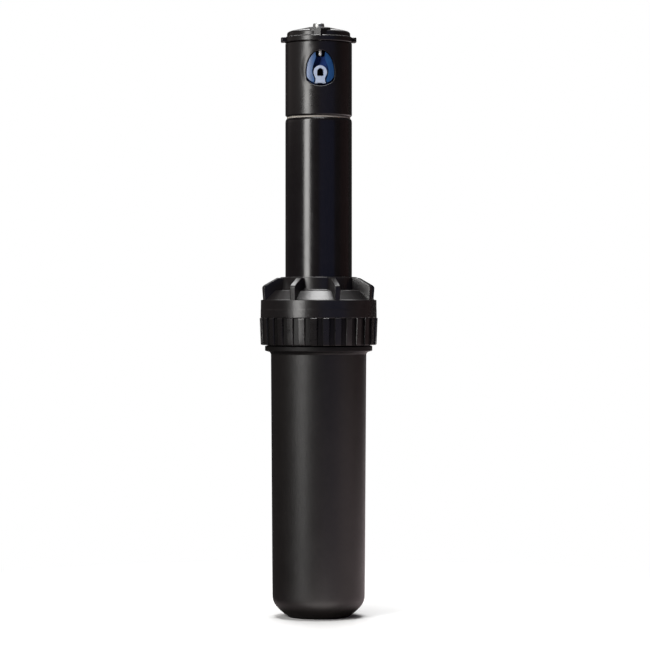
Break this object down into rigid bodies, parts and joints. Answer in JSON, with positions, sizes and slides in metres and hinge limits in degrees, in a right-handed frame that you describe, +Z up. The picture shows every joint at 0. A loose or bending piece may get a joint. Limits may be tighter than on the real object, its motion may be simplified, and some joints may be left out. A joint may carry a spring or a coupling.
{
  "type": "pop up sprinkler",
  "caption": "Pop-up rotor sprinkler with a threaded-inlet body case, ribbed screw cap, telescoping riser, geared rotating turret, adjustable nozzle and reversing mechanism",
  "frame": {"origin": "centre of the flat ring at the bottom of the body case, on the riser axis", "axes": "+Z up along the riser; -Y the way the nozzle points at rest; +X to the right seen from the nozzle side"},
  "size_m": [0.0614, 0.0614, 0.3081],
  "materials": {
    "case_plastic": "fine moulded texture, satin black",
    "cap_plastic": "semi-gloss black",
    "riser_plastic": "glossy black",
    "seal_rubber": "soft matte black",
    "natural_acetal": "natural off-white",
    "grey_gear": "satin grey",
    "orange_valve": "satin orange",
    "screen_grey": "satin grey",
    "spring_steel": "drawn stainless wire",
    "stainless": "turned stainless",
    "nozzle_blue": "satin blue"
  },
  "bodies": {
    "case": {"case": "case_plastic", "cap": "cap_plastic", "wiper_seal": "seal_rubber", "spring_seat": "natural_acetal", "retract_spring": "spring_steel"},
    "guide_collar": {"guide_collar": "riser_plastic"},
    "riser": {"riser_tube": "riser_plastic", "inlet_screen": "screen_grey", "stator": "natural_acetal", "bypass_spring": "spring_steel", "gear_case": "grey_gear", "gear_case_cover": "grey_gear", "gear_pins": "stainless", "riser_head": "riser_plastic", "shaft_seal": "seal_rubber", "wear_ring": "natural_acetal", "trip_spring": "spring_steel"},
    "bypass_valve": {"bypass_poppet": "orange_valve"},
    "turbine": {"turbine": "natural_acetal"},
    "gear_1": {"gear_1": "natural_acetal"},
    "gear_2": {"gear_2": "natural_acetal"},
    "gear_3": {"gear_3": "natural_acetal"},
    "trip": {"trip_shaft": "stainless", "trip_lever": "orange_valve", "flow_vane": "orange_valve"},
    "turret": {"drive_ring": "grey_gear", "output_shaft": "grey_gear", "thrust_washer": "natural_acetal", "retaining_clip": "stainless", "turret_base": "grey_gear", "turret_shell": "riser_plastic", "flow_tube": "grey_gear", "nozzle": "nozzle_blue", "turret_cap": "riser_plastic", "cap_screw": "stainless"},
    "arc_ring": {"arc_ring": "natural_acetal"},
    "arc_screw": {"arc_screw": "natural_acetal"},
    "radius_screw": {"radius_screw": "stainless"}
  },
  "joints": [
    {"name": "riser_pop_up", "type": "slide", "parent": "case", "child": "guide_collar", "axis": [0, 0, 1], "range_m": [-0.121, 0], "deforming": ["retract_spring"]},
    {"name": "riser_ratchet", "type": "hinge", "parent": "guide_collar", "child": "riser", "pos_m": [0, 0, 0.13], "axis": [0, 0, 1], "continuous": true},
    {"name": "turret_turn", "type": "hinge", "parent": "riser", "child": "turret", "pos_m": [0, 0, 0.258], "axis": [0, 0, 1], "range_deg": [-90, 90]},
    {"name": "turbine_spin", "type": "hinge", "parent": "riser", "child": "turbine", "pos_m": [0, 0, 0.17], "axis": [0, 0, 1], "continuous": true},
    {"name": "gear_1_spin", "type": "hinge", "parent": "riser", "child": "gear_1", "pos_m": [0, 0.00608, 0.18], "axis": [0, 0, 1], "continuous": true},
    {"name": "gear_2_spin", "type": "hinge", "parent": "riser", "child": "gear_2", "pos_m": [0, 0, 0.185], "axis": [0, 0, 1], "continuous": true},
    {"name": "gear_3_spin", "type": "hinge", "parent": "riser", "child": "gear_3", "pos_m": [0, 0.00608, 0.19], "axis": [0, 0, 1], "continuous": true},
    {"name": "trip_swing", "type": "hinge", "parent": "riser", "child": "trip", "pos_m": [0, 0.0139, 0.26], "axis": [0, 0, 1], "range_deg": [-12, 12]},
    {"name": "bypass_lift", "type": "slide", "parent": "riser", "child": "bypass_valve", "axis": [0, 0, 1], "range_m": [0, 0.003], "stiffness_N_per_m": 100, "springref_m": -0.002, "deforming": ["bypass_spring"]},
    {"name": "arc_ring_turn", "type": "hinge", "parent": "turret", "child": "arc_ring", "pos_m": [0, 0, 0.2635], "axis": [0, 0, 1], "range_deg": [-60, 0]},
    {"name": "arc_screw_turn", "type": "hinge", "parent": "turret", "child": "arc_screw", "pos_m": [0, 0.011, 0.27], "axis": [0, 0, 1], "range_deg": [-324, 0]},
    {"name": "radius_screw_travel", "type": "slide", "parent": "turret", "child": "radius_screw", "axis": [0, 0, 1], "range_m": [-0.004, 0.0005]}
  ],
  "couplings": [
    {"joint": "gear_3_spin", "follows": "turret_turn", "ratio": 6},
    {"joint": "gear_2_spin", "follows": "turret_turn", "ratio": -24},
    {"joint": "gear_1_spin", "follows": "turret_turn", "ratio": 96},
    {"joint": "turbine_spin", "follows": "turret_turn", "ratio": -384},
    {"joint": "arc_screw_turn", "follows": "arc_ring_turn", "ratio": 5.4}
  ]
}
